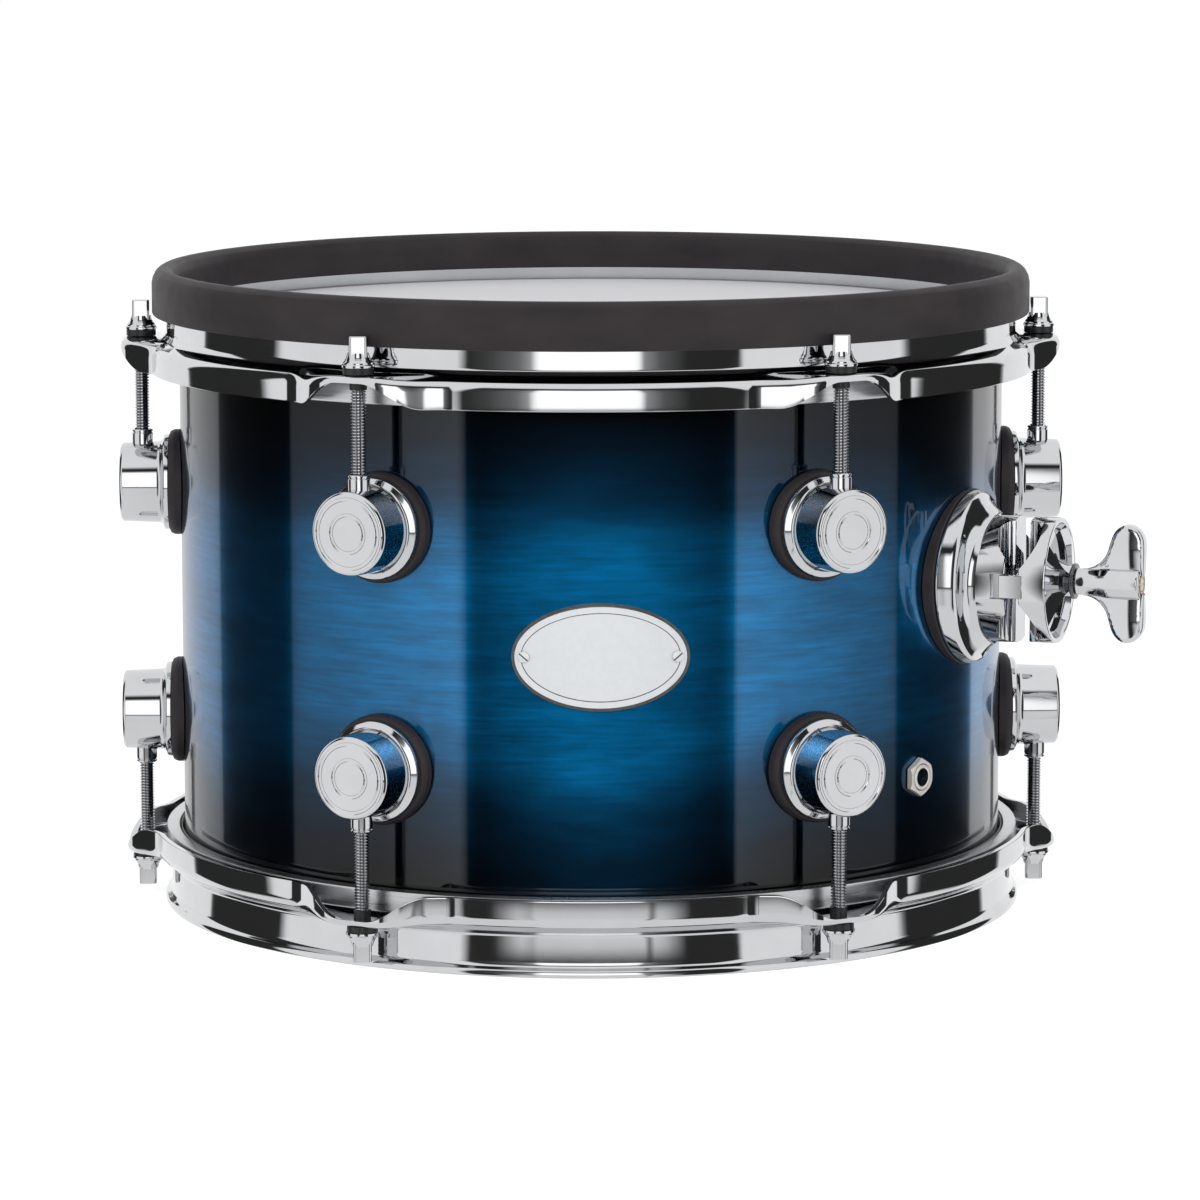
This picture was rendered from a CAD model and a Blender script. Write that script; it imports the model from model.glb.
# %% [markdown]
# # A tom tom drum with a mesh head
#
# The drum has a lacquered wooden shell, two hoops that press two heads onto its ends, and twelve
# tension rods that pull the hoops towards twelve lugs. The upper head is a white mesh with a rubber
# rim and a sensor under it, so the drum is quiet and can be played through a drum module.
#
# Every piece below is made in place around it.

# %% Load the CAD model as the frame
import math

import bmesh
import bpy
from mathutils import Matrix, Vector


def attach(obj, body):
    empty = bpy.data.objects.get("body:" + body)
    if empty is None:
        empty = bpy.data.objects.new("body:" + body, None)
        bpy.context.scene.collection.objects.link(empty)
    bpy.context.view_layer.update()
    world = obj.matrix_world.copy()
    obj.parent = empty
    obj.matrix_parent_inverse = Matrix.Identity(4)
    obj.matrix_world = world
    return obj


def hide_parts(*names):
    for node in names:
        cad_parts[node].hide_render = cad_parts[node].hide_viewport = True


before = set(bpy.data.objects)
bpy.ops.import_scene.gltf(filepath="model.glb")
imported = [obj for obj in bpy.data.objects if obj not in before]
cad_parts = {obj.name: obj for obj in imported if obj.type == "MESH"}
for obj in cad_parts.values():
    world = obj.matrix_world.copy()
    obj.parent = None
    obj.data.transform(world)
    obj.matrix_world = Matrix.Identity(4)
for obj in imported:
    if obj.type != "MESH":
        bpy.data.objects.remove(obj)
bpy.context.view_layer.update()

# %% [markdown]
# ## Millimetres, measured from the middle of the shell
#
# A drum maker measures in millimetres, and the two ends of a drum mirror each other about the middle
# of the shell. So each piece is modelled in those numbers, and one matrix brings it into the frame,
# whose zero point is the top of the mesh head, 104 mm above the middle.

# %% Places round the drum
TO_FRAME = Matrix.Translation((0, 0, -0.104)) @ Matrix.Scale(0.001, 4)
STATIONS = [30 + 60 * i for i in range(6)]
ROD_CIRCLE = 165.1
UPPER_EARS, LOWER_EARS = 96.4, -94.7


def polar(radius, angle, height=0.0):
    """A point at an angle round the drum. Zero faces the camera, and 90 is on its right."""
    turn = math.radians(angle)
    return Vector((radius * math.sin(turn), -radius * math.cos(turn), height))


def facing(angle, radius=0.0, height=0.0):
    """The matrix that turns a piece's X round the drum, its Y up and its Z outwards."""
    turn = math.radians(angle)
    across = Vector((math.cos(turn), math.sin(turn), 0))
    outwards = Vector((math.sin(turn), -math.cos(turn), 0))
    axes = Matrix((across, Vector((0, 0, 1)), outwards)).transposed().to_4x4()
    return Matrix.Translation(polar(radius, angle, height)) @ axes


print("stations:", STATIONS)

# %% [markdown]
# ## Turning pieces on the lathe
#
# Most of a drum is round: shell, hoops, rubber rim, lugs and rods. A lathe needs only half of the cut
# through the piece. Its corners are rounded first, with a vertex bevel on the outline, because the
# outline has ten or twenty corners and the finished ring has thousands. Then it is spun.
#
# A Weighted Normal modifier then lets the large faces decide how the light runs over the small round
# edges. Without it, chrome mirrors a flat wall as if it bulged.

# %% The lathe, and the step that finishes a piece
def draw_outline(bm, points, closed=True):
    """A wire outline of (radius, height) points in the XZ plane."""
    corners = [bm.verts.new((radius, 0, height)) for radius, height in points]
    pairs = list(zip(corners, corners[1:]))
    if closed:
        pairs.append((corners[-1], corners[0]))
    for pair in pairs:
        bm.edges.new(pair)
    return corners


def bevel(bm, geom, offset, segments=3, affect="EDGES", offset_type="OFFSET"):
    bmesh.ops.bevel(bm, geom=geom, offset=offset, offset_type=offset_type, affect=affect,
                    segments=segments, profile=0.5, material=-1)


def round_outline(bm, corners, soften):
    """soften holds (corner numbers, offset) pairs."""
    for numbers, offset in soften:
        bevel(bm, [corners[i] for i in numbers], offset, 2, "VERTICES")


def spin(bm, angle, steps, merge=False, climb=0.0):
    """Spins everything about Z. climb is how far each step rises."""
    bmesh.ops.spin(bm, geom=list(bm.verts) + list(bm.edges), cent=(0, 0, 0), axis=(0, 0, 1),
                   angle=angle, dvec=(0, 0, climb), steps=steps, use_merge=merge)


def face_outwards(bm):
    bmesh.ops.recalc_face_normals(bm, faces=bm.faces)


def close_seams(bm):
    bmesh.ops.remove_doubles(bm, verts=bm.verts, dist=0.0005)
    face_outwards(bm)


def turned(points, steps=96, soften=(), closed=True):
    """A round piece from its outline."""
    bm = bmesh.new()
    round_outline(bm, draw_outline(bm, points, closed), soften)
    spin(bm, 2 * math.pi, steps, merge=True)
    close_seams(bm)
    return bm


def joined(*parts):
    """One bmesh with all the parts in it. The parts are used up."""
    whole = bmesh.new()
    for part in parts:
        mesh = bpy.data.meshes.new("part")
        part.to_mesh(mesh)
        part.free()
        whole.from_mesh(mesh)
        bpy.data.meshes.remove(mesh)
    return whole


def placed(bm, matrix):
    bmesh.ops.transform(bm, matrix=matrix, verts=bm.verts)
    return bm


def lifted(bm, height):
    return placed(bm, Matrix.Translation((0, 0, height)))


def flipped(bm):
    """Turned over, for the lower end of the drum."""
    placed(bm, Matrix.Scale(-1, 4, (0, 0, 1)))
    face_outwards(bm)
    return bm


def as_object(name, bm):
    """An object made of a bmesh, which is used up."""
    mesh = bpy.data.meshes.new(name)
    bm.to_mesh(mesh)
    bm.free()
    made = bpy.data.objects.new(name, mesh)
    bpy.context.collection.objects.link(made)
    return made


def finish_piece(name, bm, finish, body="drum", nodes=(), sharp=32, even=True):
    """Brings a bmesh into the frame, makes it an object, and lets it ride on its body."""
    piece = as_object(name, placed(bm, TO_FRAME))
    mesh = piece.data
    mesh.polygons.foreach_set("use_smooth", [True] * len(mesh.polygons))
    mesh.set_sharp_from_angle(angle=math.radians(sharp))
    for one in finish if isinstance(finish, (list, tuple)) else [finish]:
        mesh.materials.append(one)
    if even:
        shading = piece.modifiers.new("Even shading", "WEIGHTED_NORMAL")
        shading.keep_sharp = True
    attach(piece, body)
    if nodes:
        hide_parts(*nodes)
    return piece


# %% [markdown]
# ## Finishes
#
# Each finish is a small node tree round one Principled shader. What is the same all over the surface,
# such as how metallic it is, goes straight on the shader. What varies, such as grain, comes from
# noise and waves on the object's own coordinates, in metres.

# %% A short way to write node trees
class Finish:
    """A material with one Principled shader, and helpers that add and wire nodes."""

    def __init__(self, name, **values):
        self.material = bpy.data.materials.new(name)
        self.material.use_nodes = True
        self.tree = self.material.node_tree
        self.shader = self.tree.nodes["Principled BSDF"]
        for socket, value in values.items():
            self.shader.inputs[socket.replace("_", " ")].default_value = value
        self.place = self.tree.nodes.new("ShaderNodeTexCoord").outputs["Object"]

    def node(self, kind, inputs=None, **settings):
        made = self.tree.nodes.new("ShaderNode" + kind)
        for name, value in settings.items():
            setattr(made, name, value)
        for socket, value in (inputs or {}).items():
            self.wire(value, made.inputs[socket])
        return made

    def wire(self, value, socket):
        if isinstance(value, bpy.types.NodeSocket):
            self.tree.links.new(value, socket)
        else:
            socket.default_value = value

    def stretched(self, scale, source=None):
        """Coordinates times scale, so that a pattern is longer one way than the other."""
        return self.node("Mapping", {"Vector": source or self.place, "Scale": scale}).outputs[0]

    def noise(self, scale, detail=3.0, source=None, roughness=0.5):
        inputs = {"Vector": source or self.place, "Scale": scale, "Detail": detail,
                  "Roughness": roughness}
        return self.node("TexNoise", inputs).outputs[0]

    def ramp(self, factor, stops):
        made = self.node("ValToRGB", {"Fac": factor})
        elements = made.color_ramp.elements
        while len(elements) < len(stops):
            elements.new(0.5)
        for element, (position, colour) in zip(elements, stops):
            element.position = position
            element.color = (*colour, 1) if isinstance(colour, (list, tuple)) else (colour,) * 3 + (1,)
        return made.outputs[0]

    def spread(self, factor, low, high, start=0.0, end=1.0):
        """A pattern that runs from start to end, as numbers from low to high."""
        inputs = {"Value": factor, "From Min": start, "From Max": end, "To Min": low, "To Max": high}
        return self.node("MapRange", inputs).outputs[0]

    def maths(self, operation, *values):
        return self.node("Math", dict(enumerate(values)), operation=operation).outputs[0]

    def multiplied(self, first, second):
        """Two colours multiplied."""
        inputs = {"Factor": 1.0, 6: first, 7: second}
        return self.node("Mix", inputs, data_type="RGBA", blend_type="MULTIPLY").outputs[2]

    def bump(self, height, distance, strength=1.0):
        inputs = {"Height": height, "Distance": distance, "Strength": strength}
        self.wire(self.node("Bump", inputs).outputs[0], self.shader.inputs["Normal"])

    def colour(self, value):
        self.wire(value, self.shader.inputs["Base Color"])

    def mottle(self, pattern, dark, light):
        self.colour(self.ramp(pattern, [(0.3, dark), (0.7, light)]))

    def roughness(self, pattern, smooth, rough):
        self.wire(self.spread(pattern, smooth, rough), self.shader.inputs["Roughness"])


def plated(name, colour, smooth, rough, metallic=1.0):
    """Chrome and nickel: a mirror with faint smears and a slightly wavy polish."""
    made = Finish(name, Metallic=metallic)
    made.mottle(made.noise(60, 4), [c * 0.93 for c in colour], colour)
    made.roughness(made.noise(220, 3), smooth, rough)
    made.bump(made.noise(35, 1), 0.00001)
    return made.material


def moulded(name, shine, cloud, dark, light, smooth, rough, grain):
    """Black plastic: a soft mottle, uneven gloss and a fine grain."""
    made = Finish(name, Specular_IOR_Level=shine)
    made.mottle(made.noise(cloud, 3), dark, light)
    made.roughness(made.noise(900, 2), smooth, rough)
    made.bump(made.noise(grain, 2), 0.00003)
    return made.material


chrome = plated("Chrome", [0.66, 0.67, 0.685], 0.02, 0.07)
nickel = plated("Nickel", [0.72, 0.70, 0.66], 0.32, 0.42, metallic=0.35)
dark_steel = plated("Dark steel", [0.14, 0.14, 0.15], 0.12, 0.22)
thread_root = plated("Thread root", [0.2, 0.2, 0.21], 0.12, 0.22)
brass = plated("Brass", [0.62, 0.45, 0.22], 0.2, 0.3)
nylon = moulded("Black nylon", 0.45, 700, (0.008, 0.008, 0.009), (0.016, 0.016, 0.017), 0.3, 0.45, 3000)
film = moulded("Black film", 0.5, 500, (0.012, 0.012, 0.013), (0.02, 0.02, 0.021), 0.28, 0.4, 1800)
print("metals and plastics:", [made.name for made in bpy.data.materials])

# %% [markdown]
# ## The lacquered shell
#
# The shell is a tube of thin maple plies with a sloping bearing edge at each end, where the heads lie.
# The outside is stained and lacquered: blue in the middle, fading to black at both ends, under a deep
# clear coat. The blue lets light through to the wood and back, so it shines like a coloured metal
# wherever a lamp is mirrored in it, and looks almost black elsewhere. A metallic blue under a clear
# coat does the same. A UV map that is wrapped round the drum gives the lacquer the direction of its
# grain. The figure is noise in space, squeezed upwards, so it has no seam.

# %% Turn the shell and wrap a UV map round it
SHELL_RADIUS = 151.0


def wrap_uv(bm, radius):
    """UV in metres: round the drum, and up it. The seam is at the back."""
    layer = bm.loops.layers.uv.new("Wrap")
    for face in bm.faces:
        middle = face.calc_center_median()
        home = math.atan2(middle.x, -middle.y)
        for loop in face.loops:
            here = math.atan2(loop.vert.co.x, -loop.vert.co.y)
            here += 2 * math.pi * round((home - here) / (2 * math.pi))
            loop[layer].uv = (here * radius * 0.001, loop.vert.co.z * 0.001)


shell_outline = [(151, 100.7), (149.3, 102.5), (144.8, 98.0),
                 (144.8, -98.0), (149.3, -102.5), (151, -100.7)]
shell = turned(shell_outline, 256, [((0, 1, 4, 5), 0.5), ((2, 3), 0.8)])
wrap_uv(shell, SHELL_RADIUS)
print("shell:", len(shell.faces), "faces")

# %% Mix the lacquer
lacquer = Finish("Blue lacquer", Metallic=0.96, Anisotropic=1.0, Anisotropic_Rotation=0.25,
                 Coat_Weight=0.95, Coat_Roughness=0.015)
lacquer.wire(lacquer.node("Tangent", direction_type="UV_MAP", uv_map="Wrap").outputs[0],
             lacquer.shader.inputs["Tangent"])
LOW_END, HIGH_END = -0.204, -0.004
height_up = lacquer.node("SeparateXYZ", {0: lacquer.place}).outputs["Z"]
cloud = lacquer.noise(1, 3, lacquer.stretched((9, 9, 22)))
edge = lacquer.maths("ADD", lacquer.spread(height_up, 0.0, 1.0, LOW_END, HIGH_END),
                     lacquer.spread(cloud, -0.03, 0.03))
# the lower fade was sprayed a little higher at the six lugs than between them
wrap = lacquer.node("UVMap", uv_map="Wrap").outputs[0]
round_it = lacquer.node("SeparateXYZ", {0: wrap}).outputs["X"]
wave = lacquer.maths("COSINE", lacquer.maths("MULTIPLY", round_it, 6 * 1000 / SHELL_RADIUS))
fade = lacquer.maths("MULTIPLY_ADD", wave, lacquer.spread(edge, 0.055, 0.0, 0.35, 0.5), edge)
BLUE = (0.0004, 0.232, 0.565)
BLACK = (0.0004, 0.0006, 0.001)
# the spray's fade from the lower end to the upper: (height, share of blue)
FADE = [(0.05, 0.0), (0.125, 0.05), (0.20, 0.14), (0.25, 0.24), (0.305, 0.57), (0.36, 0.92),
        (0.42, 1.0), (0.5, 1.0), (0.6, 1.0), (0.665, 0.9), (0.705, 0.66), (0.74, 0.36),
        (0.775, 0.19), (0.805, 0.11), (0.86, 0.04), (0.93, 0.0)]


def between(share):
    """A colour between the black and the blue."""
    return [black + (blue - black) * share for black, blue in zip(BLACK, BLUE)]


burst = lacquer.ramp(fade, [(at, between(share)) for at, share in FADE])
grain = lacquer.noise(1, 5, lacquer.stretched((40, 40, 760)), 0.65)
figure = lacquer.noise(1, 4, lacquer.stretched((30, 30, 95)), 0.6)
shade = lacquer.multiplied(lacquer.ramp(figure, [(0.32, 0.68), (0.62, 1.0)]),
                           lacquer.ramp(grain, [(0.36, 0.72), (0.62, 1.0)]))
lacquer.colour(lacquer.multiplied(burst, shade))
lacquer.roughness(figure, 0.22, 0.26)
shell_piece = finish_piece("shell_lacquered", shell, lacquer.material, nodes=["shell"])

# %% [markdown]
# ## The counterhoops
#
# A triple-flanged hoop is rolled from 2.3 mm steel: a wall that stands beside the head, a bead at its
# top, and a skirt that goes outwards and down round the head's own ring. At each of the six rods the
# skirt is pressed up and out into a flat ear. A sixth of the plain section is spun, finely enough for
# the ears, and repeated, because one spin of 900 steps takes far longer. Then the skirt is swept: a
# cosine share says how far each place is in an ear. It goes outwards over a longer way than it rises,
# which makes the ears round.

# %% Roll the plain section and press the ears into it
HOOP_OUTLINE = [
    (153.7, 16.8), (158.4, 16.8), (158.4, 14.4), (156.0, 12.9), (156.0, 2.4), (157.6, 0.4),
    (162.5, -2.6), (162.5, -11.2), (160.2, -11.2), (160.2, -4.6), (156.9, -2.1), (153.7, -2.1),
]
HOOP_SOFTEN = [((0,), 0.8), ((1, 2), 0.8), ((3,), 1.2), ((4, 5), 0.6), ((7, 8), 0.4), ((9, 10), 1.0),
               ((11,), 0.5)]
SKIRT_CORNER = 6
SKIRT_START, SKIRT_WIDTH = 157.3, 2.9
EAR_REACH, EAR_SHEET = 9.8, 2.1
# along the rods' circle: half of the flat part, and the sweep beside it
OUT_SWEEP, RISE_SWEEP = (8.0, 26.0), (4.5, 20.0)


def flange_top(radius):
    """Height of the skirt's upper face, from the ears' level, where the hoop is plain."""
    (inner, top), (outer, low) = HOOP_OUTLINE[SKIRT_CORNER - 1:SKIRT_CORNER + 1]
    return top + (low - top) * (min(max(radius, inner), outer) - inner) / (outer - inner)


def ear_share(angle, flat_half, sweep):
    """1 on an ear, 0 between the ears, and a smooth sweep between the two."""
    along = min(abs((angle - station + 180) % 360 - 180) for station in STATIONS)
    distance = (math.radians(along) * ROD_CIRCLE - flat_half) / sweep
    return 0.5 + 0.5 * math.cos(math.pi * min(max(distance, 0.0), 1.0))


def press_ears(bm):
    for vert in bm.verts:
        radius = math.hypot(vert.co.x, vert.co.y)
        if radius < SKIRT_START or vert.co.z > 1.0:
            continue
        angle = math.degrees(math.atan2(vert.co.x, -vert.co.y))
        skirt_share = min((radius - SKIRT_START) / SKIRT_WIDTH, 1.0)
        out = EAR_REACH * skirt_share * ear_share(angle, *OUT_SWEEP)
        depth = flange_top(radius) - vert.co.z
        flat = -min(depth, EAR_SHEET) - max(depth - EAR_SHEET, 0.0) * 0.03
        rise = (flat - vert.co.z) * ear_share(angle, *RISE_SWEEP)
        vert.co = polar(radius + out, angle, vert.co.z + rise)


sixth = bmesh.new()
corners = draw_outline(sixth, HOOP_OUTLINE)
round_outline(sixth, corners, HOOP_SOFTEN)
bevel(sixth, [corners[SKIRT_CORNER]], 2.6, 6, "VERTICES")
spin(sixth, math.radians(60), 150)
hoop = joined(*[placed(sixth.copy(), Matrix.Rotation(math.radians(60 * i), 4, "Z")) for i in range(6)])
sixth.free()
close_seams(hoop)
press_ears(hoop)
print("hoop:", len(hoop.faces), "faces, open edges:", sum(e.is_boundary for e in hoop.edges))
finish_piece("resonant_hoop_steel", lifted(flipped(hoop.copy()), LOWER_EARS), chrome,
             nodes=["resonant_hoop"])
finish_piece("batter_hoop_steel", lifted(hoop, UPPER_EARS), chrome, nodes=["batter_hoop"])

# %% [markdown]
# ## The rubber rim
#
# A rubber cover grips the upper hoop's bead and keeps the stick quiet when it strikes the rim. It is an
# extruded strip with a slot in its underside and a crowned top, so it is another ring for the lathe.
# The rubber is a brownish black with a soft shine and a fine moulded roughness.

# %% Turn the rubber rim
rubber = Finish("Rim rubber", Specular_IOR_Level=0.2)
bloom = rubber.noise(38, 4, rubber.stretched((1, 1, 2)))
rubber.mottle(bloom, (0.022, 0.019, 0.021), (0.033, 0.0285, 0.031))
rubber.roughness(rubber.noise(150, 3), 0.42, 0.58)
rubber.bump(rubber.noise(2400, 2), 0.00006, 0.5)

rim = turned([(151.6, 12.0), (151.6, 22.4), (153.9, 25.3), (156.2, 26.2), (158.5, 25.3),
              (160.8, 22.4), (160.8, 9.2), (159.0, 9.2), (159.0, 17.1), (152.7, 17.1), (152.7, 12.0)],
             256, [((1, 5), 2.2), ((2, 4), 1.2), ((3,), 1.0), ((0, 6), 0.6), ((7, 10), 0.4)])
finish_piece("rim_rubber_cover", lifted(rim, UPPER_EARS), rubber.material, nodes=["rim_rubber"])

# %% [markdown]
# ## The heads and their rings
#
# The upper head is two plies of white polyester mesh, stretched flat over the bearing edge and down
# into an aluminium ring that the hoop presses on. It is cloth, so it is a thin skin that gets its
# thickness from a Solidify modifier, and it is declared as a stretched sheet with its cut size. The
# lower head is a black plastic film made the same way.

# %% Stretch the mesh head
mesh_cloth = Finish("Mesh cloth", Specular_IOR_Level=0.25, Sheen_Weight=0.15, Sheen_Roughness=0.4)
CLOTH_PITCH = 0.00045


def threads(direction):
    """Waves one thread apart. The wave node's own step is 0.314 of a metre."""
    inputs = {"Vector": mesh_cloth.place, "Scale": 0.314159 / CLOTH_PITCH, "Distortion": 0.3}
    return mesh_cloth.node("TexWave", inputs, bands_direction=direction).outputs[0]


weave = mesh_cloth.maths("MULTIPLY", threads("X"), threads("Y"))
mesh_cloth.colour(mesh_cloth.ramp(weave, [(0.0, (0.83, 0.83, 0.86)), (0.5, (0.88, 0.88, 0.91))]))
mesh_cloth.roughness(mesh_cloth.noise(300, 2), 0.6, 0.8)
mesh_cloth.bump(weave, 0.00005, 0.2)


def head_skin(top, collar_radius, collar_foot):
    return turned([(0, top), (60, top), (120, top), (collar_radius - 1.4, top),
                   (collar_radius, top - 1.4), (collar_radius, collar_foot)],
                  192, [((3, 4), 0.7)], closed=False)


def thicken(piece, thickness):
    made = piece.modifiers.new("Thickness", "SOLIDIFY")
    made.thickness = thickness
    made.offset = -1


HEAD_TOP, COLLAR_RADIUS = 104.0, 152.3
mesh_head = finish_piece("batter_head_mesh", head_skin(HEAD_TOP, COLLAR_RADIUS, 85.6),
                         mesh_cloth.material, nodes=["batter_head"], even=False)
thicken(mesh_head, 0.0007)

# %% The lower head's film, and both rings
lower_head = finish_piece("resonant_head_film", flipped(head_skin(HEAD_TOP, COLLAR_RADIUS, 84.0)),
                          film, nodes=["resonant_head"], even=False)
thicken(lower_head, 0.0003)

aluminium = Finish("Aluminium", Metallic=1.0)
brushed = aluminium.noise(1, 4, aluminium.stretched((60, 60, 2500)))
aluminium.mottle(brushed, (0.52, 0.53, 0.54), (0.66, 0.67, 0.68))
aluminium.roughness(brushed, 0.22, 0.38)
aluminium.bump(brushed, 0.00002)


def flesh_ring():
    return turned([(152.8, -11.0), (157.8, -11.0), (157.8, -3.1), (152.8, -3.1)], 192,
                  [((0, 1, 2, 3), 0.9)])


for end, ring in (("batter", lifted(flesh_ring(), UPPER_EARS)),
                  ("resonant", lifted(flipped(flesh_ring()), LOWER_EARS))):
    finish_piece(f"{end}_flesh_ring", ring, aluminium.material, nodes=[f"{end}_head_ring"])
print("heads done")

# %% [markdown]
# ## Tension rods
#
# A rod has a square head for the drum key, a flared collar, a nylon washer on the ear and a nylon
# bush through it, and a rolled thread down to the lug. The thread is a small tooth that is spun while
# it climbs, which gives a true helix, on a plain core.

# %% Build one rod
ROD_PITCH = 1.06


def extruded(bm, lift, keep=True):
    """Extrudes all the faces. Returns what is new."""
    new = bmesh.ops.extrude_face_region(bm, geom=list(bm.faces), use_keep_orig=keep)["geom"]
    bmesh.ops.translate(bm, verts=[v for v in new if isinstance(v, bmesh.types.BMVert)], vec=lift)
    return new


def square_head(foot, top):
    bm = bmesh.new()
    place = Matrix.Translation((0, 0, foot)) @ Matrix.Rotation(math.radians(45), 4, "Z")
    bmesh.ops.create_circle(bm, cap_ends=True, segments=4, radius=3.175 * math.sqrt(2), matrix=place)
    extruded(bm, (0, 0, top - foot), keep=False)
    bevel(bm, [e for e in bm.edges if abs(e.verts[0].co.z - e.verts[1].co.z) > 1], 1.0)
    bevel(bm, [e for e in bm.edges if all(abs(v.co.z - top) < 1e-4 for v in e.verts)], 0.55)
    face_outwards(bm)
    return bm


def thread_ridge(core, crest, pitch, low, high):
    """A small tooth, spun while it climbs. A quarter of the pitch stays open between the turns."""
    bm = bmesh.new()
    draw_outline(bm, [(core, low), (crest, low + 0.3 * pitch), (crest, low + 0.45 * pitch),
                      (core, low + 0.75 * pitch)])
    turns = (high - low) / pitch - 1
    steps = int(turns * 18)
    spin(bm, 2 * math.pi * turns, steps, climb=turns * pitch / steps)
    bmesh.ops.holes_fill(bm, edges=[e for e in bm.edges if e.is_boundary], sides=0)
    face_outwards(bm)
    return bm


def paint(faces, number):
    """Gives faces the finish that has this number in the piece's list."""
    for face in faces:
        face.material_index = number


def rod(tip):
    """Heights run from the ear, with the head upwards."""
    collar = turned([(0, 2.6), (5.8, 2.6), (5.8, 3.5), (5.3, 3.8), (5.2, 4.3), (4.6, 5.0), (4.1, 6.0),
                     (3.6, 7.6), (0, 7.8)], 48, [((1, 2, 4, 5, 6), 0.15)])
    core = turned([(0, tip), (1.7, tip), (2.18, tip + 0.8), (2.18, 2.8), (0, 2.8)], 24)
    ridge = thread_ridge(2.1, 2.75, ROD_PITCH, tip + 0.6, 0.0)
    paint(core.faces, 1)
    return joined(square_head(5.8, 13.4), collar, core, ridge)


def rod_nylon():
    return joined(
        turned([(2.9, 0.15), (5.4, 0.15), (5.4, 2.6), (2.9, 2.6)], 40, [((1, 2), 0.35)]),
        turned([(2.85, -5.1), (3.0, -5.1), (3.0, 0.5), (2.85, 0.5)], 40),
    )


ROD_MODELS = {
    "upper": (UPPER_EARS, rod(-52.4), rod_nylon()),
    "lower": (LOWER_EARS, flipped(rod(-50.7)), flipped(rod_nylon())),
}
for i, angle in enumerate(STATIONS, 1):
    for level, (plane, steel, plastic) in ROD_MODELS.items():
        at = Matrix.Translation(polar(ROD_CIRCLE, angle, plane))
        body = f"rod_{level}_{i}"
        finish_piece(body + "_steel", placed(steel.copy(), at), [chrome, thread_root], body,
                     ["tension_" + body])
        finish_piece(body + "_nylon", placed(plastic.copy(), at), nylon, body)
print("rod:", len(ROD_MODELS["upper"][1].faces), "faces, made once and copied 12 times")

# %% [markdown]
# ## Lugs on rubber feet
#
# Each rod screws into a round cast lug. It is a can with a flared foot, a flat face with two turned
# grooves, and a swivel nut that stands out of its side. A rubber foot keeps the casting off the
# lacquer; its back is hollowed to the shell's curve.

# %% Turn a lug with its nut
LUG_HEIGHT = 42.4
LUG_OUTLINE = [
    (0, 173.3), (5.8, 173.3), (6.1, 172.9), (6.9, 172.9), (7.2, 173.25), (11.2, 173.2),
    (11.5, 172.8), (12.4, 172.8), (12.7, 173.15), (13.6, 173.1), (14.5, 172.2), (15.0, 159.0),
    (15.4, 158.0), (17.6, 157.0), (17.6, 155.3), (0, 155.3),
]


def lug(up):
    can = turned(LUG_OUTLINE, 96, [(range(1, 9), 0.12), ((9, 10), 0.3), ((11, 12), 0.5), ((13,), 0.5)])
    nut = turned([(3.0, 10.5), (3.85, 10.5), (3.85, 18.2), (3.6, 18.45), (3.6, 18.7), (3.85, 18.95),
                  (3.85, 19.4), (3.55, 19.7), (3.0, 19.7)], 40)
    upright = Matrix.Rotation(math.radians(-90 * up), 4, "X")
    return joined(can, placed(nut, Matrix.Translation((0, 0, ROD_CIRCLE)) @ upright))


def curve_back(bm, far, near):
    """Hollows a flat back to the shell: full at the distance near, nothing at far."""
    for vert in bm.verts:
        share = min(max((far - vert.co.z) / (far - near), 0.0), 1.0)
        vert.co.z -= share * (near - math.sqrt(near**2 - vert.co.x**2))


FOOT_BACK, FOOT_FRONT = 151.3, 155.0
foot_model = turned([(0, FOOT_BACK), (8, FOOT_BACK), (16, FOOT_BACK), (19.4, FOOT_BACK), (19.4, 153.4),
                     (18.6, FOOT_FRONT), (0, FOOT_FRONT)], 72, [((4, 5), 0.5)])
curve_back(foot_model, FOOT_FRONT, FOOT_BACK)
for level, up in (("upper", 1), ("lower", -1)):
    lug_model = lug(up)
    for i, angle in enumerate(STATIONS, 1):
        at = facing(angle, 0, up * LUG_HEIGHT)
        finish_piece(f"lug_{level}_{i}_cast", placed(lug_model.copy(), at), chrome,
                     nodes=[f"lug_{level}_{i}"], sharp=25)
        finish_piece(f"lug_foot_{level}_{i}_rubber", placed(foot_model.copy(), at), rubber.material,
                     nodes=[f"lug_foot_{level}_{i}"])
print("lug:", len(lug_model.faces), "faces")

# %% [markdown]
# ## Carving
#
# Cast pieces have mouths, slots and bores that a lathe can't turn. They are cut as a milling machine
# would cut them: a cutter is modelled, and a Boolean modifier takes it out of the turned blank.

# %% The milling step
def carved(bm, cutters, operation="DIFFERENCE"):
    """The bmesh after each cutter is taken out of it. The cutters are used up."""
    blank = as_object("blank", bm)
    tools = [as_object("cutter", cutter) for cutter in cutters]
    for tool in tools:
        cut = blank.modifiers.new("Cut", "BOOLEAN")
        cut.operation, cut.solver, cut.object = operation, "EXACT", tool
    result = bmesh.new()
    result.from_object(blank, bpy.context.evaluated_depsgraph_get())
    for used in [blank, *tools]:
        mesh = used.data
        bpy.data.objects.remove(used)
        bpy.data.meshes.remove(mesh)
    bmesh.ops.remove_doubles(result, verts=result.verts, dist=0.002)
    return result


def block(width, depth, height, centre, soften=0.0):
    """A block with rounded edges, for tabs and cutters."""
    bm = bmesh.new()
    place = Matrix.Translation(centre) @ Matrix.Diagonal((width, depth, height, 1))
    bmesh.ops.create_cube(bm, size=1, matrix=place)
    if soften:
        bevel(bm, list(bm.edges), soften)
    return bm


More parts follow.
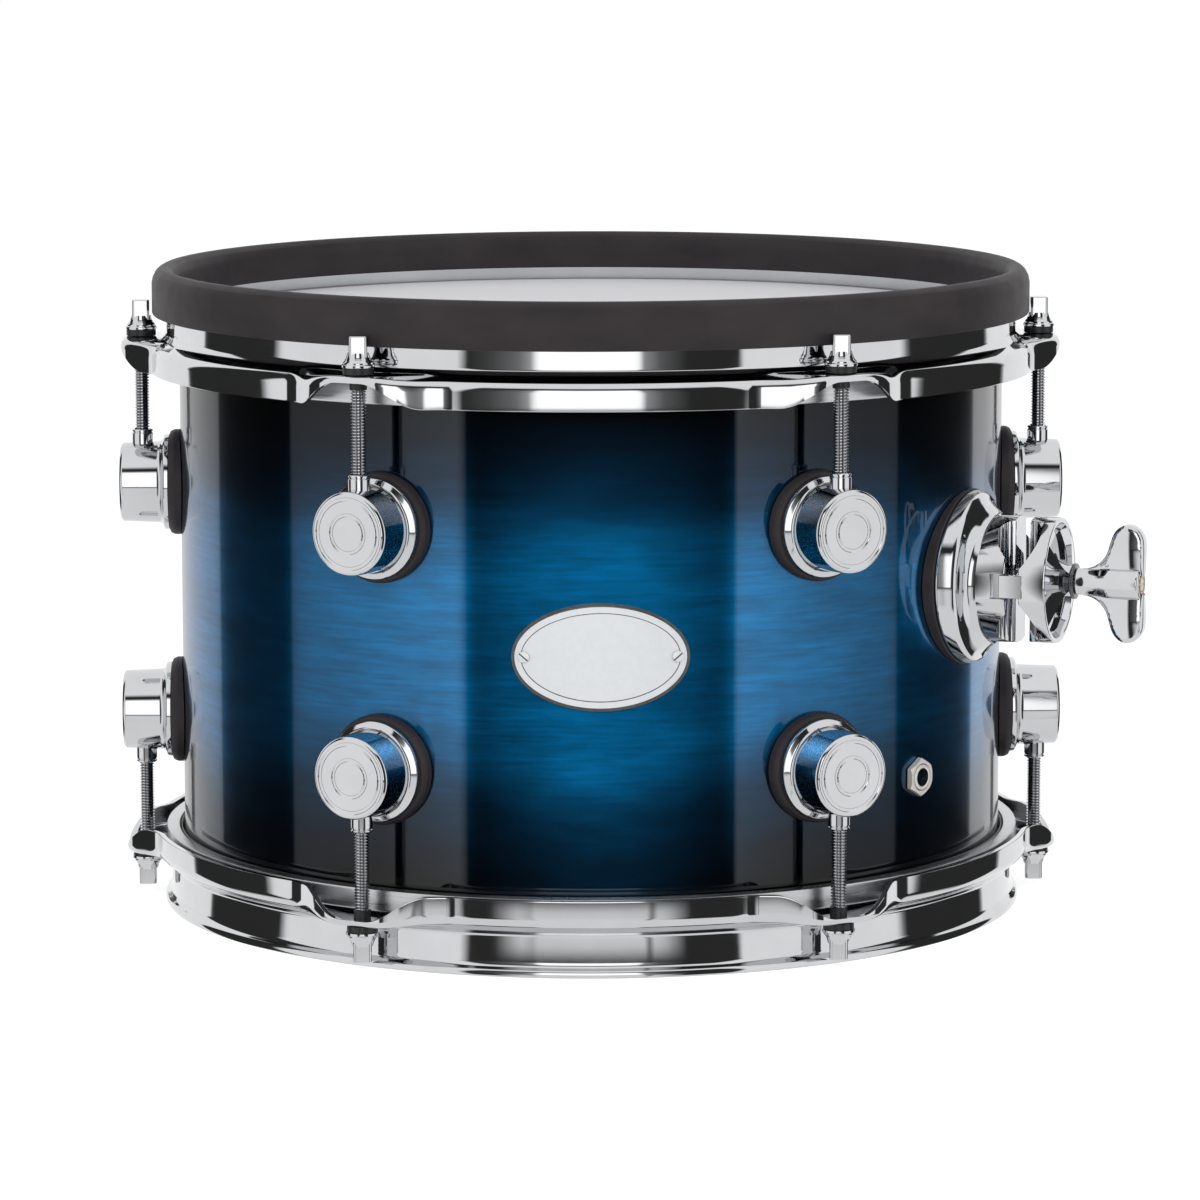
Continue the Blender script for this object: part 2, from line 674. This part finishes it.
def slab(points, thickness, soften=0.0, segments=3, smooth=0):
    """A plate cut to a closed outline in XZ. Its thickness is along Y, both ways from the outline."""
    bm = bmesh.new()
    corners = draw_outline(bm, points)
    if smooth:
        bevel(bm, corners, smooth, 4, "VERTICES", "PERCENT")
    bmesh.ops.holes_fill(bm, edges=list(bm.edges), sides=0)
    rims = list(bm.edges)
    bmesh.ops.translate(bm, verts=bm.verts, vec=(0, -thickness / 2, 0))
    rims += [e for e in extruded(bm, (0, thickness, 0)) if isinstance(e, bmesh.types.BMEdge)]
    face_outwards(bm)
    if soften:
        bevel(bm, rims, soften, segments)
    return bm


def prism(sides, radius, low, height):
    """An upright prism over a circle that has a number of sides."""
    bm = bmesh.new()
    bmesh.ops.create_circle(bm, cap_ends=True, segments=sides, radius=radius,
                            matrix=Matrix.Translation((0, 0, low)))
    extruded(bm, (0, 0, height))
    face_outwards(bm)
    return bm


def slice_at(bm, point, normal):
    everything = list(bm.verts) + list(bm.edges) + list(bm.faces)
    bmesh.ops.bisect_plane(bm, geom=everything, plane_co=point, plane_no=normal)


print("milling step ready")

# %% [markdown]
# ## The badge
#
# An oval plate is held on the shell by two small screws. It is an ellipse with inset steps: a dark
# edge, a silver band, a thin groove and the satin field. It is made flat, as the real one is stamped,
# and then bent round the shell.

# %% Stamp the badge and bend it
silver = Finish("Badge silver", Metallic=0.05, Coat_Weight=0.3, Coat_Roughness=0.1)
brushing = silver.noise(1, 4, silver.stretched((400, 400, 400)))
silver.mottle(brushing, (0.645, 0.665, 0.69), (0.675, 0.695, 0.72))
silver.roughness(brushing, 0.32, 0.42)
badge_edge = Finish("Badge edge", Metallic=0.2, Coat_Weight=0.3)
badge_edge.mottle(badge_edge.noise(800, 2), (0.045, 0.038, 0.032), (0.085, 0.075, 0.066))
badge_edge.roughness(badge_edge.noise(500, 2), 0.3, 0.45)
BADGE_CENTRE = -0.4
BADGE_HALF, BADGE_THICKNESS = (30.7, 18.7), 0.75
SCREW_SIDE = 26.4
BRIGHT, DARK = 0, 1
# each step of the border: width, depth and finish
BADGE_STEPS = [(0.5, 0.3, DARK), (0.45, 0.05, DARK), (0.15, -0.15, DARK), (2.1, 0.0, BRIGHT),
               (0.12, -0.12, DARK), (0.15, 0.0, DARK), (0.12, 0.12, BRIGHT)]


def bent_to_shell(bm, seat):
    """Bends a flat plate round the shell: X runs round it, Y up it, and Z out of it."""
    for vert in bm.verts:
        turn = math.degrees(vert.co.x / SHELL_RADIUS)
        vert.co = polar(SHELL_RADIUS + seat + vert.co.z, turn, vert.co.y + BADGE_CENTRE)
    return bm


plate = bmesh.new()
bmesh.ops.create_circle(plate, cap_ends=True, segments=128, radius=1,
                        matrix=Matrix.Diagonal((*BADGE_HALF, 1, 1)))
extruded(plate, (0, 0, BADGE_THICKNESS))
face_outwards(plate)
paint(plate.faces, DARK)
top = [face for face in plate.faces if face.normal.z > 0.9]
for width, depth, finish in BADGE_STEPS:
    paint(bmesh.ops.inset_region(plate, faces=top, thickness=width, depth=depth)["faces"], finish)
paint(top, BRIGHT)
for i in range(-14, 15):
    slice_at(plate, (2.1 * i + 0.01, 0, 0), (1, 0, 0))
screws = []
for turn in (-40, 40):
    head = turned([(0, 0.6), (2.0, 0.6), (2.0, 1.25), (1.6, 1.5), (0, 1.6)], 32, [((2, 3), 0.12)])
    head = carved(head, [block(5, 0.5, 1.2, (0, 0, 1.85))])
    for face in head.faces:
        middle = face.calc_center_median()
        in_slot = middle.z < 1.38 and (middle.xy.length < 1.5 or abs(face.normal.z) < 0.5)
        face.material_index = DARK if in_slot else BRIGHT
    place = Matrix.Translation((math.copysign(SCREW_SIDE, turn), 0, 0))
    screws.append(placed(head, place @ Matrix.Rotation(math.radians(turn), 4, "Z")))
badge = bent_to_shell(joined(plate, *screws), 0.3)
print("badge:", len(badge.faces), "faces")
finish_piece("badge_plate_bare", badge, [silver.material, badge_edge.material], nodes=["badge"],
             sharp=25)

# %% [markdown]
# ## The jack
#
# A socket for a quarter inch plug comes through the shell, with a hexagon nut on its sleeve. The nut's
# corners are chamfered on a lathe, so it is a hexagon and a cone that are milled together.

# %% Mill the dress nut and turn the socket
JACK_AT = facing(48.5, 0, -51.6)
chamfer = turned([(0, 150), (8, 150), (8, 151.9), (6.0, 153.4), (0, 153.4)], 64)
nut = carved(prism(6, 6.9, 151.3, 2.0), [chamfer], "INTERSECT")
nut = carved(nut, [turned([(0, 150), (4.8, 150), (4.8, 152.8), (5.1, 154), (0, 154)], 48)])
print("jack nut:", len(nut.faces), "faces")
finish_piece("jack_nut_hexagon", placed(nut, JACK_AT), nickel, nodes=["jack_nut"],
             sharp=20)
sleeve = turned([(3.2, 144.4), (4.5, 144.4), (4.5, 153.6), (3.2, 153.6)], 48, [((2, 3), 0.3)])
barrel = turned([(0, 118.4), (7, 118.4), (7, 144.2), (3.3, 144.6), (3.3, 128), (0, 128)], 48,
                [((1, 2), 0.6)])
for face in sleeve.faces:
    face.material_index = int(face.calc_center_median().xy.length > 3.3)
finish_piece("jack_socket_body", placed(joined(sleeve, barrel), JACK_AT), [nylon, nickel],
             nodes=["jack_socket"])

# %% [markdown]
# ## The holder clamp
#
# A stand's arm is gripped between a base on the shell and a jaw that a wing screw closes. Base and jaw
# are die castings, plated with the rest. Each is turned on the lathe and then milled: two upright
# channels for the arm, a slot for the jaw's guide, and a bore for the screw. The jaw's face has two
# pockets, above and below its hub, between two sloping shoulders. The base's flange follows
# the shell on a rubber gasket, so its vertices are pushed back to the shell's curve.

# %% Turn and mill the base
CLAMP_AT = Matrix.Translation(polar(SHELL_RADIUS, 61.5, 16)) @ facing(69)
LEAN = SHELL_RADIUS * math.sin(math.radians(7.5))
REACH = SHELL_RADIUS * math.cos(math.radians(7.5))
CHANNEL_SIDE, CHANNEL_OUT = 13.5, 22.4


def saddle(across):
    """How far the shell's surface lies behind the bracket's middle, at a distance to its side."""
    return math.sqrt(SHELL_RADIUS**2 - (across - LEAN) ** 2) - REACH


def follow_shell(bm, shares):
    """Bends a turned piece to the shell. shares holds (height, share) from bottom to top."""
    for vert in bm.verts:
        height = vert.co.z
        share = shares[-1][1]
        for (low, first), (high, last) in zip(shares, shares[1:]):
            if height <= high:
                share = first + (last - first) * max(height - low, 0) / (high - low)
                break
        vert.co.z += share * saddle(vert.co.x)
    return bm


def arm_channels(radius, flute):
    """Two upright cutters. Flutes in the base's channels grip the arm."""
    cutters = []
    for across in (-CHANNEL_SIDE, CHANNEL_SIDE):
        bm = bmesh.new()
        bmesh.ops.create_circle(bm, cap_ends=True, segments=64, radius=radius)
        for vert in list(bm.verts)[::2]:
            vert.co *= flute
        extruded(bm, (0, 0, 60))
        face_outwards(bm)
        upright = Matrix.Rotation(math.radians(-90), 4, "X")
        cutters.append(placed(bm, Matrix.Translation((across, -30, CHANNEL_OUT)) @ upright))
    return cutters


base = turned([(0, 1.8), (16, 1.8), (30.9, 1.8), (31.0, 2.6), (30.2, 5.0), (29.4, 5.8), (28.2, 6.1),
               (25.6, 8.2), (23.6, 10.6), (22.8, 12.4), (22.7, 20.0), (0, 20.0)], 128,
              [((2,), 0.3), ((4, 5), 0.35), ((6, 7), 0.9), ((8, 9), 0.7), ((10,), 0.45)])
follow_shell(base, [(1.8, 0.64), (2.6, 0.62), (6.1, 0.28), (11.4, 0.9), (12.4, 0.85), (20, 0.0)])
base = carved(base, [*arm_channels(7.4, 0.975), block(5.4, 9.1, 11, (-22.7, 0, 20.0), 0.3),
                     turned([(0, 6), (4.0, 6), (4.0, 30), (0, 30)], 48)])
print("base:", len(base.faces), "faces")
finish_piece("clamp_base_cast", placed(base, CLAMP_AT), chrome, nodes=["bracket_base"],
             sharp=28)
gasket = turned([(0, 0.3), (16, 0.3), (31.5, 0.3), (31.5, 1.3), (31.2, 1.5), (16, 1.5), (0, 1.5)], 128,
                [((3, 4), 0.15)])
follow_shell(gasket, [(0.3, 1.0), (1.3, 0.66), (1.5, 0.64)])
finish_piece("clamp_gasket_rubber", placed(gasket, CLAMP_AT), rubber.material, nodes=["bracket_gasket"])

# %% Turn and mill the jaw
jaw = turned([(0, 24.8), (22.4, 24.8), (22.4, 34.4), (20.6, 34.4), (19.4, 31.4), (9.8, 31.5),
              (7.9, 32.5), (6.5, 34.2), (5.6, 36.6), (5.3, 38.9), (0, 38.9)], 128,
             [((1,), 0.4), ((2, 3), 0.5), ((4, 5), 0.5), ((6, 7, 8), 0.8), ((9,), 0.3)])
jaw = carved(jaw, [*arm_channels(8.4, 1.0), turned([(0, 20), (4.0, 20), (4.0, 45), (0, 45)], 48)])
pockets = []
for turn in (90, -90):
    place = Matrix.Translation((0, 0, 35)) @ Matrix.Rotation(math.radians(turn), 4, "X")
    pockets.append(placed(slab([(0, -1), (30, 29), (-30, 29)], 30), place))
shoulders = turned([(4.2, 29.5), (21.4, 29.5), (21.7, 34.2), (14.5, 35.7), (9.2, 36.9), (6.6, 37.8),
                    (5.3, 38.8), (4.2, 38.8)], 128, [((2,), 0.3), ((3, 4, 5), 0.9)])
guide = block(2.1, 8.3, 8.8, (-21.35, 0, 22.2), 0.45)
jaw = joined(jaw, carved(shoulders, pockets), guide)
print("jaw:", len(jaw.faces), "faces")
finish_piece("clamp_jaw_cast", placed(jaw, CLAMP_AT), chrome, "jaw", ["bracket_jaw"],
             sharp=28)
washer = turned([(3.9, 39.2), (6.4, 39.2), (6.4, 40.5), (3.9, 40.5)], 64, [((1, 2), 0.3)])
finish_piece("clamp_washer_steel", placed(washer, CLAMP_AT), dark_steel, "jaw",
             ["clamp_washer"])

# %% [markdown]
# ## The wing screw
#
# The two wings are one cast blade with big round lobes, and the hub runs through it as a ridge. The
# blade is a slab cut to the outline, whose corners are rounded by a vertex bevel and whose rims are
# rounded by an edge bevel. Its faces swell in the middle of each lobe. The hub, its bore and the screw
# come from the lathe.

# %% Make the wing screw
WING_HALF = [(4.9, 41.6), (4.9, 45.5), (7.4, 49.6), (10.4, 51.8), (14.0, 52.8), (18.2, 54.2),
             (20.7, 56.8), (21.3, 59.6), (20.2, 62.6), (17.4, 64.9), (13.2, 65.5), (6.0, 65.2)]
LOBE_CENTRE, LOBE_RADIUS = (13.0, 58.5), 9.0
blade = slab(WING_HALF + [(-x, z) for x, z in reversed(WING_HALF)], 8.0, 1.7, 4, smooth=45)
for i in range(-10, 11):
    slice_at(blade, (2.1 * i, 0, 0), (1, 0, 0))
    slice_at(blade, (0, 0, 53.5 + 1.2 * i), (0, 0, 1))
for vert in blade.verts:
    off_lobe = math.hypot(abs(vert.co.x) - LOBE_CENTRE[0], vert.co.z - LOBE_CENTRE[1]) / LOBE_RADIUS
    wedge = min(0.7 + 0.3 * (vert.co.z - 41.6) / 20.0, 1.0)
    vert.co.y *= wedge * (1 - 0.3 * min(off_lobe, 1.3) ** 2)
blade = carved(placed(blade, Matrix.Rotation(math.radians(90), 4, "Z")),
               [turned([(0, 63.3), (3.85, 63.3), (3.85, 70), (0, 70)], 48)])
hub = turned([(0, 40.8), (4.9, 40.8), (4.7, 44.5), (5.1, 48.5), (5.8, 52.5), (6.1, 58.0),
              (6.2, 63.4), (5.5, 64.2), (3.9, 64.2), (3.8, 63.3), (0, 63.3)], 72,
             [((1,), 0.4), ((2, 3, 4), 1.2), ((6, 7), 0.3), ((8,), 0.2)])
brass_ring = turned([(2.7, 63.2), (3.6, 63.2), (3.6, 64.4), (2.7, 64.4)], 48, [((2, 3), 0.2)])
screw_end = carved(turned([(0, 63.2), (2.5, 63.2), (2.5, 64.3), (0, 64.3)], 32, [((2,), 0.2)]),
                   [block(6, 0.7, 1.0, (0, 0, 64.5))])
paint(brass_ring.faces, 1)
paint(screw_end.faces, 2)
shaft = joined(turned([(0, 9.5), (2.9, 9.5), (3.35, 10.2), (3.35, 41.5), (0, 41.5)], 32),
               thread_ridge(3.3, 3.7, 1.25, 10.2, 38.0))
wing = joined(blade, hub, brass_ring, screw_end, shaft)
print("wing screw:", len(wing.faces), "faces")
finish_piece("wing_screw_cast", placed(wing, CLAMP_AT), [chrome, brass, nickel], "wing",
             ["wing_screw"], sharp=30)

# %% [markdown]
# ## What stays as the CAD model made it
#
# The steel plate, the cross bar and two sensors inside the shell already have the right shape. They
# keep it and only get their finishes here.

# %% Dress the CAD nodes
INSIDE = {"bracket_plate": nickel, "sensor_plate": nickel, "rim_sensor": nylon,
          "trigger_bar": aluminium.material}
for node, finish in INSIDE.items():
    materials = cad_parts[node].data.materials
    materials.clear()
    materials.append(finish)
print("dressed:", *INSIDE)

# %% [markdown]
# ## The foam cone
#
# A cone of soft foam stands on the sensor under the middle of the mesh and carries each stroke to it.

# %% Turn the foam cone
foam = Finish("Trigger foam", Specular_IOR_Level=0.15, Sheen_Weight=0.3)
cells = foam.node("TexVoronoi", {"Vector": foam.place, "Scale": 900}).outputs["Distance"]
foam.colour(foam.ramp(cells, [(0.1, (0.02, 0.02, 0.022)), (0.6, (0.06, 0.06, 0.065))]))
foam.roughness(cells, 0.8, 0.95)
foam.bump(cells, 0.0004, 0.8)
cone = turned([(0, 74.8), (19.6, 74.8), (19.8, 76.5), (14.6, 89), (9.2, 101.4), (8.0, 102.4),
               (0, 102.4)], 96, [((1, 2, 4, 5), 0.8), ((3,), 3.0)])
foam_cone = finish_piece("foam_cone_soft", cone, foam.material, nodes=["foam_cone"])

# %% [markdown]
# ## The studio
#
# The drum stands on white paper that runs into a white background. Three soft lamps light it from the
# front and the sides, at a level where a colour comes out about as it is written.

# %% Floor and world
FLOOR = -0.2155


def is_seen(tree):
    """1 for the rays that look at a thing, straight, in a mirror or through glass, otherwise 0."""
    path = tree.nodes.new("ShaderNodeLightPath")
    total = path.outputs["Is Camera Ray"]
    for name in ("Is Glossy Ray", "Is Transmission Ray"):
        larger = tree.nodes.new("ShaderNodeMath")
        larger.operation = "MAXIMUM"
        tree.links.new(total, larger.inputs[0])
        tree.links.new(path.outputs[name], larger.inputs[1])
        total = larger.outputs[0]
    return total


world = bpy.data.worlds.new("Studio")
bpy.context.scene.world = world
world.use_nodes = True
air = world.node_tree
sky = air.nodes["Background"]
sky.inputs["Color"].default_value = (1, 1, 1, 1)
# white where it is seen or mirrored, and half as strong where it lights the drum
strength = air.nodes.new("ShaderNodeMapRange")
strength.inputs["To Min"].default_value = 0.5
strength.inputs["To Max"].default_value = 1.0
air.links.new(is_seen(air), strength.inputs["Value"])
air.links.new(strength.outputs[0], sky.inputs["Strength"])

paper = Finish("Floor paper", Specular_IOR_Level=0.0, Roughness=1.0)
paper.mottle(paper.noise(3, 2), (0.80, 0.80, 0.80), (0.82, 0.82, 0.82))
# the paper glows where it is seen, so that it runs into the white behind it
paper.shader.inputs["Emission Color"].default_value = (1, 1, 1, 1)
paper.wire(paper.maths("MULTIPLY", is_seen(paper.tree), 0.62),
           paper.shader.inputs["Emission Strength"])


def stage_object(name, bm, finish):
    made = as_object(name, bm)
    made.data.materials.append(finish)
    return made


ground = bmesh.new()
bmesh.ops.create_grid(ground, x_segments=1, y_segments=1, size=12,
                      matrix=Matrix.Translation((0, 0, FLOOR)))
stage_object("floor", ground, paper.material).visible_glossy = False

# %% [markdown]
# ## What the drum mirrors
#
# Chrome has no colour of its own: it shows the studio. The photographer put a tall lamp on each side, a
# small bright one in front, white paper behind and black card in between, and every hoop, lug and rod
# repeats these bands. They stand far away, so here they are painted on two large domes that show only
# in mirrors. The first dome shows only to the plated and rubber pieces and the second only to the
# lacquered shell, by light linking, as if two exposures of one picture were joined.

# %% Paint a dome by azimuth and elevation
def dome_light(name, bands, patches, caps, see_through):
    """A glow that is the sum of bands and patches, and turns into the caps above and below."""
    made = Finish(name, Specular_IOR_Level=0.0, Base_Color=(0, 0, 0, 1), Emission_Color=(1, 1, 1, 1))
    maths = made.maths
    place = made.node("SeparateXYZ", {0: made.place}).outputs
    back = maths("MULTIPLY", place["Y"], -1.0)
    around = maths("MULTIPLY_ADD", maths("ARCTAN2", place["X"], back), 0.5 / math.pi, 0.5)
    away = made.node("VectorMath", {0: made.place}, operation="LENGTH").outputs["Value"]
    rise = maths("ARCSINE", maths("DIVIDE", place["Z"], away))
    rise = maths("MULTIPLY_ADD", rise, 1 / math.pi, 0.5)

    def by_azimuth(stops):
        return made.ramp(around, [(azimuth / 360 + 0.5, value) for azimuth, value in stops])

    def by_elevation(stops):
        return made.ramp(rise, [(elevation / 180 + 0.5, value) for elevation, value in stops])

    total = by_azimuth(bands)
    for azimuths, elevations, peak in patches:
        patch = maths("MULTIPLY", by_azimuth(azimuths), by_elevation(elevations))
        total = maths("MULTIPLY_ADD", patch, peak, total)
    open_part = by_elevation([(elevation, share) for elevation, share, _ in caps])
    cap_light = by_elevation([(elevation, light) for elevation, _, light in caps])
    total = maths("MULTIPLY_ADD", total, open_part, cap_light)
    made.wire(total, made.shader.inputs["Emission Strength"])
    made.material.cycles.emission_sampling = "NONE"
    if see_through:
        clear = made.node("BsdfTransparent").outputs[0]
        both = made.node("AddShader", {0: made.shader.outputs[0], 1: clear}).outputs[0]
        made.wire(both, made.tree.nodes["Material Output"].inputs["Surface"])
    return made.material


# %% Set up both domes
def dome(name, radius, finish, piece, state):
    """A dome that shows in mirrors: INCLUDE shows it to one piece, EXCLUDE to all but that piece."""
    bm = bmesh.new()
    bmesh.ops.create_icosphere(bm, subdivisions=5, radius=radius)
    made = stage_object(name, bm, finish)
    for ray in ("camera", "diffuse", "shadow", "volume_scatter"):
        setattr(made, "visible_" + ray, False)
    receivers = bpy.data.collections.new(name + "_receivers")
    receivers.objects.link(piece)
    for entry in receivers.collection_objects:
        entry.light_linking.link_state = state
    made.light_linking.receiver_collection = receivers


# bands: (azimuth in degrees, light). Patches: two such lists, the second by elevation, and a peak.
# Caps: (elevation, share of the bands, light of the cap).
PLATED_BANDS = [(-180, 1), (-127.5, 1), (-126.5, 0.03), (-94, 0.03), (-91, 1), (-35.4, 1),
                (-34.9, 0.03), (38.4, 0.03), (38.9, 1), (89, 1), (92, 0.03), (130.5, 0.03),
                (131.5, 1), (180, 1)]
FRONT_PANEL = ([(-34, 0), (-27, 0.03), (-20, 0.1), (-16.5, 0.25), (-15, 1), (11, 1), (12.5, 0.2),
                (17, 0.06), (24, 0)],
               [(-8.6, 0), (-7.9, 1), (30, 1), (36, 0)], 1.6)
TABLE_FRONT = ([(-27, 0), (-21, 0.8), (-18.5, 1), (-17.5, 0.1), (-16.6, 1), (13, 1), (13.9, 0.1),
                (15, 1), (18, 0.8), (24, 0)],
               [(-30, 1), (-14, 1), (-11.8, 0.85), (-10.2, 0.4), (-9.0, 0)], 0.85)
PLATED_CAPS = [(-90, 0, 0.9), (-36, 0, 0.9), (-30, 1, 0), (42, 1, 0), (50, 0, 1), (90, 0, 1)]
LACQUER_BANDS = [(-180, 0.7), (-131, 0.6), (-127.5, 0.55), (-127.1, 0.02), (-92.6, 0.02),
                 (-92.2, 0.42), (-83, 0.50), (-62, 0.66), (-45, 0.9), (-38, 1), (-36.7, 1),
                 (-36.3, 0.02), (38.5, 0.02), (38.8, 1), (44, 0.86), (62, 0.6), (80, 0.42),
                 (91.8, 0.34), (92.2, 0.02), (130.7, 0.02), (131.4, 1.0), (141, 0.8), (148, 0.8),
                 (180, 0.7)]
CENTRE_GLOW = ([(-36, 0.0), (-32, 0.15), (-26, 0.42), (-20, 0.56), (-10, 0.88), (-2, 1), (6, 0.92),
                (14, 0.74), (24, 0.5), (31, 0.26), (37, 0.05)],
               [(6, 0), (7.5, 1), (40, 1), (44, 0)], 3.5)
LACQUER_CAPS = [(-90, 0, 0.3), (-50, 0, 0.3), (-40, 1, 0), (42, 1, 0), (50, 0, 0.3), (90, 0, 0.3)]
plated_light = dome_light("Dome for plating", PLATED_BANDS, [FRONT_PANEL, TABLE_FRONT],
                          PLATED_CAPS, True)
lacquer_light = dome_light("Dome for lacquer", LACQUER_BANDS, [CENTRE_GLOW], LACQUER_CAPS, False)
dome("dome_plated", 30, plated_light, shell_piece, "EXCLUDE")
dome("dome_lacquer", 40, lacquer_light, shell_piece, "INCLUDE")
print("domes ready")


# %% The lamps
def lamp(name, place, target, width, height, power):
    light = bpy.data.lights.new(name, "AREA")
    light.shape, light.size, light.size_y, light.energy = "RECTANGLE", width, height, power
    made = bpy.data.objects.new(name, light)
    bpy.context.collection.objects.link(made)
    made.location = place
    made.rotation_euler = (Vector(target) - Vector(place)).to_track_quat("-Z", "Y").to_euler()
    made.visible_glossy = False


for name, x in (("lamp_left", -1.5), ("lamp_right", 1.5)):
    lamp(name, (x, -0.7, 0.25), (0, 0, -0.1), 0.8, 1.2, 9)
lamp("lamp_front", (0.0, -1.7, 0.75), (0, 0, -0.08), 0.7, 0.4, 12)
print("studio ready")

# %% [markdown]
# ## The camera
#
# The camera stands where the photograph's did: 2 m away with a long lens, looking down 8.3 degrees.

# %% Camera
camera_data = bpy.data.cameras.new("Camera")
camera_data.lens = 162.042
camera_data.sensor_width = 36
camera_data.clip_start, camera_data.clip_end = 0.05, 50
camera = bpy.data.objects.new("Camera", camera_data)
bpy.context.collection.objects.link(camera)
bpy.context.scene.camera = camera
# fitted to the photograph, in metres and radians
CAMERA_PLACE = (-0.04327, -1.98007, 0.18146)
yaw, pitch, roll = -0.02349928, 0.14437116, -0.00140117
look = Vector((-math.sin(yaw) * math.cos(pitch), math.cos(yaw) * math.cos(pitch), -math.sin(pitch)))
side = Vector((math.cos(yaw), math.sin(yaw), 0))
over = side.cross(look)
across = side * math.cos(roll) + over * math.sin(roll)
upright = over * math.cos(roll) - side * math.sin(roll)
turned_to = Matrix((across, upright, -look)).transposed().to_4x4()
camera.matrix_world = Matrix.Translation(CAMERA_PLACE) @ turned_to
bpy.context.scene.view_settings.view_transform = "Standard"
